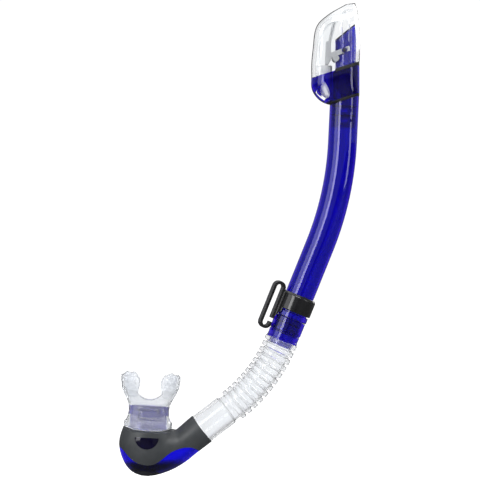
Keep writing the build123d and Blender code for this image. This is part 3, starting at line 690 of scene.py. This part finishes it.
badge = keep(*bowl(0.00025), lambda p: in_badge(p, 0.0002))
badge = tidy(new_object("side_windows", *badge, BADGE))
thicken(badge, 0.0013, 0.0002)
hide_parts("side_badges")
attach(badge, "elbow")


# ---------------------------------------------------------------- mouthpiece
# half widths and half depths of the lip shield at heights above the elbow's top
SHIELD = [(0.0, 21.8, 13.1), (0.9, 22.5, 13.8), (5.8, 22.4, 13.7), (6.5, 21.0, 12.3), (8.5, 20.1, 11.8),
          (11.5, 19.2, 11.2), (15.6, 18.6, 10.9), (20.8, 19.2, 11.1), (26.0, 21.4, 11.8),
          (31.2, 24.2, 12.6), (36.4, 26.4, 13.2), (41.6, 27.4, 13.5), (46.8, 27.7, 13.5),
          (53.0, 27.3, 13.2)]
SHIELD_WALL = 0.0023
SADDLE, SADDLE_RISE, GAP_HALF = 0.0262, 0.0046, 0.0112
WING_TOP = 0.0508


def shield_size(height):
    for low, high in zip(SHIELD, SHIELD[1:]):
        if height * 1000 <= high[0]:
            t = max(0.0, (height * 1000 - low[0]) / (high[0] - low[0]))
            return (low[1] + (high[1] - low[1]) * t) / 1000, (low[2] + (high[2] - low[2]) * t) / 1000
    return SHIELD[-1][1] / 1000, SHIELD[-1][2] / 1000


def shield_surface(around=160, rows=110):
    top = SHIELD[-1][0] / 1000
    verts = []
    for i in range(rows + 1):
        height = top * i / rows
        half_x, half_y = shield_size(height)
        for k in range(around):
            point = oval_point(2 * math.pi * k / around, half_x, half_y, height, 0.86)
            drop = shoulder(point.y) * (1 - ease(height / 0.010))
            verts.append(point + MOUTH_UP * drop)
    return verts, quads(rows + 1, around)


def outside_gap(p):
    """Above zero on the shield, below zero in the gap between its wings and over their tops."""
    across, depth, height = in_mouth(p)
    half = GAP_HALF - 0.0014 * math.sin(math.pi * min(max((height - 0.034) / 0.016, 0), 1))
    half += 0.0035 * max(0.0, (height - 0.044) / 0.008)
    saddle = SADDLE + SADDLE_RISE * min(1.0, (abs(across) / GAP_HALF)) ** 2
    gap = min(half - abs(across), height - saddle) if height > saddle else height - saddle
    crown = WING_TOP - 0.0022 * ((abs(across) - 0.0195) / 0.008) ** 2 - 0.0007 * math.sin(across * 900)
    return min(-gap, crown - height)


shield = keep(*shield_surface(), outside_gap)
shield = tidy(new_object("mouthpiece_silicone", *shield, SILICONE))
applied(walled(shield, SHIELD_WALL))


def bite_block(side):
    """A bite tab inside one wing, ribbed where the teeth rest."""
    verts = []
    rows, around = 26, 40
    for i in range(rows + 1):
        t = i / rows
        height = 0.0275 + 0.0225 * t
        half_x = 0.0056 * (0.80 + 0.20 * math.sin(math.pi * min(1.0, 0.25 + t)))
        half_y = 0.0026 + 0.0007 * math.sin(t * 5 * math.pi) + (0.0009 if t > 0.86 else 0.0)
        middle = side * (0.0164 + 0.0034 * t)
        for k in range(around):
            a = 2 * math.pi * k / around
            c, s = math.cos(a), math.sin(a)
            x = middle + half_x * math.copysign(abs(c) ** 0.5, c)
            y = half_y * math.copysign(abs(s) ** 0.5, s)
            verts.append(MOUTH + MOUTH_ACROSS * x + Vector((0, y, 0)) + MOUTH_UP * height)
    return verts, capped(quads(rows + 1, around), rows + 1, around)


bars = frame_bars(0.0196, 0.0115, 0.0011)
tabs = joined("bite_tabs", [bite_block(-1), bite_block(1)] + bars, SILICONE)
mesh = bmesh.new()
mesh.from_mesh(shield.data)
mesh.from_mesh(tabs.data)
mesh.to_mesh(shield.data)
mesh.free()
bpy.data.objects.remove(tabs)
softened(shield, 0.00042, 7)
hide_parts("mouthpiece")
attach(shield, "elbow")


# ---------------------------------------------------------------- strap keeper
keeper = copy_of("strap_keeper", "keeper_moulding")
softened(keeper, 0.0003, 16)
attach(keeper, "keeper")


# ---------------------------------------------------------------- rubber seals
for node, body, voxel in (("seam_gasket", "barrel", 0.00032), ("duct_rim_seal", "barrel", 0.00016),
                          ("flap_seal", "lever", 0.00025)):
    seal = copy_of(node, node + "_moulding")
    softened(seal, voxel, 5)
    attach(seal, body)


# ---------------------------------------------------------------- hood
# front and back ends of the hood's sections from the seam up, with their half depths, millimetres
HOOD = [((13.95, 209.5), (58.7, 223.7), 18.0), ((13.95, 222.0), (59.2, 235.5), 18.0),
        ((15.2, 236.0), (59.2, 247.5), 17.4), ((20.6, 261.0), (57.5, 267.5), 14.6),
        ((28.6, 268.2), (57.0, 272.6), 12.4), ((45.4, 278.2), (55.0, 279.4), 4.8)]
HOOD_WALL = 0.0015
SEAM_SLOPE, GASKET_FRONT, GASKET_HALF = math.radians(17.6), 0.036, 0.0016
PANEL_RIM, PANEL_STEP, PANEL_DROP = 0.0034, 0.0012, 0.0008
SQUARENESS = 0.52                # exponent of the sections' rounded corners


HOOD_KNOTS = [0.0]
for below, above in zip(HOOD, HOOD[1:]):
    HOOD_KNOTS.append(HOOD_KNOTS[-1] + math.dist(below[0], above[0]))
HOOD_ROW_VALUES = [(*front, *back, depth) for front, back, depth in HOOD]


def hood_slope(i, column):
    """Rate of change of one of the hood's section values at a knot."""
    slopes, spans = [], []
    for j in (i - 1, i):
        if 0 <= j < len(HOOD) - 1:
            spans.append(HOOD_KNOTS[j + 1] - HOOD_KNOTS[j])
            slopes.append((HOOD_ROW_VALUES[j + 1][column] - HOOD_ROW_VALUES[j][column]) / spans[-1])
    if len(slopes) == 1:
        return slopes[0]
    return (slopes[0] * spans[1] + slopes[1] * spans[0]) / sum(spans)


def hood_level(u):
    """Front end, back end and half depth of the hood's section at u, which runs from 0 to 1."""
    place = u * HOOD_KNOTS[-1]
    i = max(j for j in range(len(HOOD) - 1) if HOOD_KNOTS[j] <= place)
    span = HOOD_KNOTS[i + 1] - HOOD_KNOTS[i]
    t = (place - HOOD_KNOTS[i]) / span
    values = []
    for column in range(5):
        start, end = HOOD_ROW_VALUES[i][column], HOOD_ROW_VALUES[i + 1][column]
        values.append((2 * t ** 3 - 3 * t ** 2 + 1) * start + (3 * t ** 2 - 2 * t ** 3) * end
                      + (t ** 3 - 2 * t ** 2 + t) * span * hood_slope(i, column)
                      + (t ** 3 - t ** 2) * span * hood_slope(i + 1, column))
    fx, fz, bx, bz, depth = [v / 1000 for v in values]
    return Vector((fx, 0, fz)), Vector((bx, 0, bz)), depth


HOOD_ROWS, HOOD_AROUND = 90, 176
HOOD_LEVELS = [hood_level(i / HOOD_ROWS) for i in range(HOOD_ROWS + 1)]
HOOD_OUTLINE = [front for front, _, _ in HOOD_LEVELS] + [back for _, back, _ in HOOD_LEVELS[::-1]]


def from_outline(point):
    """Distance in the mirror plane from a point to the hood's outline, leaving out the open seam."""
    flat = Vector((point.x, 0, point.z))
    best = 1.0
    for a, b in zip(HOOD_OUTLINE, HOOD_OUTLINE[1:]):
        run = b - a
        t = min(max((flat - a).dot(run) / max(run.length_squared, 1e-12), 0.0), 1.0)
        best = min(best, (flat - a - run * t).length)
    return best


def hood_surface():
    """The hood's outer skin with its sunk side panels, from below the seam to its domed top."""
    verts = []
    for front, back, depth in HOOD_LEVELS:
        middle, half = (front + back) / 2, (back - front) / 2
        for k in range(HOOD_AROUND):
            a = 2 * math.pi * k / HOOD_AROUND
            c, s = math.cos(a), math.sin(a)
            point = middle + half * math.copysign(abs(c) ** SQUARENESS, c)
            sunk = PANEL_DROP * ease((from_outline(point) - PANEL_RIM) / PANEL_STEP)
            point.y = math.copysign(abs(s) ** SQUARENESS, s) * (depth - sunk)
            verts.append(point)
    faces = quads(HOOD_ROWS + 1, HOOD_AROUND)
    rim = HOOD_ROWS * HOOD_AROUND
    centre = (verts[rim] + verts[rim + HOOD_AROUND // 2]) / 2
    loop = list(range(rim, rim + HOOD_AROUND))
    for scale, rise in ((0.88, 0.0003), (0.70, 0.0005), (0.45, 0.0006), (0.15, 0.0006)):
        ring = []
        for index in range(rim, rim + HOOD_AROUND):
            ring.append(len(verts))
            verts.append(centre.lerp(verts[index], scale) + Vector((0, 0, rise)))
        for k in range(HOOD_AROUND):
            j = (k + 1) % HOOD_AROUND
            faces.append((loop[k], loop[j], ring[j], ring[k]))
        loop = ring
    faces.append(tuple(loop))
    return verts, faces


def over_seam(p):
    """Height over the hood's lower edge, which stands on the gasket at the back."""
    start = HOOD[0][0]
    height = (p.z - start[1] / 1000) * math.cos(SEAM_SLOPE) - (p.x - start[0] / 1000) * math.sin(SEAM_SLOPE)
    return height - (GASKET_HALF + 0.00005 if p.x > GASKET_FRONT else 0.00005)


hood = tidy(new_object("hood_shell", *keep(*hood_surface(), over_seam), CLEAR))
thicken(hood, HOOD_WALL, 0.0003)


def hood_depth(x, z):
    """Half depth of the hood's outer face at a point of the mirror plane."""
    best, found = 1.0, 0.0
    for front, back, depth in HOOD_LEVELS:
        t = (x - front.x) / (back.x - front.x)
        gap = abs(front.z + (back.z - front.z) * t - z)
        if gap < best:
            best = gap
            found = depth * (1 - abs(2 * t - 1) ** (2 / SQUARENESS)) ** (SQUARENESS / 2)
    return found


def guide(route, side, radius=0.00055):
    """A moulded rail on the inside of the hood, along a route of (x, z) points."""
    path = cubic([Vector((x, 0, z)) / 1000 for x, z in route])
    verts = []
    steps, around = 70, 10
    for i in range(steps + 1):
        here = path(i / steps)
        ahead = path(min(1.0, (i + 1) / steps)) - path(max(0.0, (i - 1) / steps))
        across = Vector((ahead.z, 0, -ahead.x)).normalized()
        here.y = side * (hood_depth(here.x, here.z) - PANEL_DROP - HOOD_WALL - 0.0003)
        for k in range(around):
            a = 2 * math.pi * k / around
            verts.append(here + across * radius * math.cos(a) + Vector((0, radius * math.sin(a), 0)))
    return verts, capped(quads(steps + 1, around), steps + 1, around)


RAIL = [(42.4, 247.0), (42.3, 258.0), (42.4, 266.5), (43.6, 270.3), (45.6, 271.6), (47.6, 270.6),
        (48.8, 266.5), (48.9, 258.0), (48.6, 243.0)]
FRONT_RAIL = [(22.0, 222.0), (22.2, 240.0), (24.6, 252.0), (31.0, 259.5), (38.0, 261.5)]
rails = [guide(route, side) for route in (RAIL, FRONT_RAIL) for side in (-1, 1)]
rails = tidy(joined("hood_rails", rails, CLEAR), 0.000001)
for part in (hood, rails):
    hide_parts("top_cover")
    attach(part, "barrel")


# ---------------------------------------------------------------- stage, light and camera
FLOOR_Z = CAD_BOX[0][2] - 0.09   # low enough for the elbow when the hose is bent down
FLOOR_SIZE = 30
FLOOR_COLOUR, FLOOR_IN_GLOSS = 0.86, 0.14    # the floor's own shade, and its shade in glossy reflections
SEEN_THROUGH, SEEN_ASIDE = 0.97, 0.42        # brightness of the white behind a clear piece, and aside of it


def direct(tree, vector, side, behind):
    """One for what the camera sees straight on; through a clear piece, less, and least to its sides."""
    path = tree.nodes.new("ShaderNodeLightPath")
    split = tree.nodes.new("ShaderNodeSeparateXYZ")
    tree.links.new(vector, split.inputs["Vector"])
    ramp = tree.nodes.new("ShaderNodeMapRange")
    ramp.interpolation_type = "SMOOTHSTEP"
    ramp.inputs["From Min"].default_value = side
    ramp.inputs["From Max"].default_value = behind
    ramp.inputs["To Min"].default_value = SEEN_ASIDE
    ramp.inputs["To Max"].default_value = SEEN_THROUGH
    tree.links.new(split.outputs["Y"], ramp.inputs["Value"])
    through = tree.nodes.new("ShaderNodeMath")
    through.operation = "MULTIPLY"
    either = tree.nodes.new("ShaderNodeMath")
    either.operation = "MAXIMUM"
    tree.links.new(path.outputs["Is Transmission Ray"], through.inputs[0])
    tree.links.new(ramp.outputs["Result"], through.inputs[1])
    tree.links.new(path.outputs["Is Camera Ray"], either.inputs[0])
    tree.links.new(through.outputs["Value"], either.inputs[1])
    return either.outputs["Value"]


def stage_material(name, shade):
    """Matt pale floor that glows as white as the sky where the camera sees it."""
    material, tree, shader = new_material(name)
    cloud = spread(tree, noise(tree, 1.5, 2), 0, 1)
    mottled = blend_colour(tree, cloud, (shade,) * 3, (0.985 * shade,) * 3)
    shader.inputs["Roughness"].default_value = 0.9
    shader.inputs["Specular IOR Level"].default_value = 0.0
    shader.inputs["Emission Color"].default_value = (1, 1, 1, 1)
    seen = tree.nodes.new("ShaderNodeLightPath")
    coords = tree.nodes.new("ShaderNodeTexCoord")
    tree.links.new(direct(tree, coords.outputs["Object"], 0.05, 0.8), shader.inputs["Emission Strength"])
    dark = tree.nodes.new("ShaderNodeMix")
    dark.data_type = "RGBA"
    dark.inputs["B"].default_value = (FLOOR_IN_GLOSS, FLOOR_IN_GLOSS, FLOOR_IN_GLOSS, 1)
    tree.links.new(seen.outputs["Is Glossy Ray"], dark.inputs["Factor"])
    tree.links.new(mottled, dark.inputs["A"])
    tree.links.new(dark.outputs["Result"], shader.inputs["Base Color"])
    return material


bpy.ops.mesh.primitive_plane_add(size=FLOOR_SIZE, location=(0, 0, FLOOR_Z))
floor = bpy.context.object
floor.name = "floor"
floor.data.materials.append(stage_material("pale_floor", FLOOR_COLOUR))

world = bpy.data.worlds.new("studio")
bpy.context.scene.world = world
world.use_nodes = True
tree = world.node_tree
soft = tree.nodes["Background"]
soft.inputs["Color"].default_value = (0.93, 0.95, 1.0, 1)
soft.inputs["Strength"].default_value = 0.22
plain = tree.nodes.new("ShaderNodeBackground")
plain.inputs["Color"].default_value = (1, 1, 1, 1)
plain.inputs["Strength"].default_value = 1.05
choice = tree.nodes.new("ShaderNodeMixShader")
sky = tree.nodes.new("ShaderNodeTexCoord")
tree.links.new(direct(tree, sky.outputs["Generated"], 0.50, 0.93), choice.inputs["Fac"])
tree.links.new(soft.outputs["Background"], choice.inputs[1])
tree.links.new(plain.outputs["Background"], choice.inputs[2])
tree.links.new(choice.outputs["Shader"], tree.nodes["World Output"].inputs["Surface"])


MIDDLE = Vector((-0.04, 0, 0.06))    # the point that every softbox faces


def softbox(name, place, size, power):
    data = bpy.data.lights.new(name, "AREA")
    data.shape = "RECTANGLE"
    data.size, data.size_y = size
    data.energy = power
    obj = bpy.data.objects.new(name, data)
    bpy.context.scene.collection.objects.link(obj)
    obj.location = place
    aim = MIDDLE - Vector(place)
    obj.rotation_euler = aim.to_track_quat("-Z", "Y").to_euler()


softbox("key_left", (-0.95, -1.45, 0.35), (0.5, 1.8), 13)
softbox("side_left", (-1.55, -0.95, 0.35), (0.9, 1.8), 7)
softbox("fill_right", (1.7, -0.9, 0.5), (0.5, 1.4), 6)
softbox("front_high", (0.4, -1.7, 1.8), (1.5, 0.9), 26)
softbox("top", (0.0, 0.1, 2.2), (2.6, 2.6), 18)
softbox("back", (0.9, 1.8, 0.9), (1.2, 1.2), 8)

VIEW_CENTRE = Vector((-0.0523, 0, 0.0595))
VIEW_HEIGHT = 0.4464
DISTANCE, SENSOR = 3.2, 36
camera_data = bpy.data.cameras.new("camera")
camera_data.sensor_width = SENSOR
camera_data.lens = SENSOR * DISTANCE / VIEW_HEIGHT
camera_data.clip_end = 100
camera = bpy.data.objects.new("camera", camera_data)
bpy.context.scene.collection.objects.link(camera)
camera.location = VIEW_CENTRE - Vector((0, DISTANCE, 0))
camera.rotation_euler = (math.pi / 2, 0, 0)
bpy.context.scene.camera = camera
bpy.context.scene.view_settings.view_transform = "Standard"
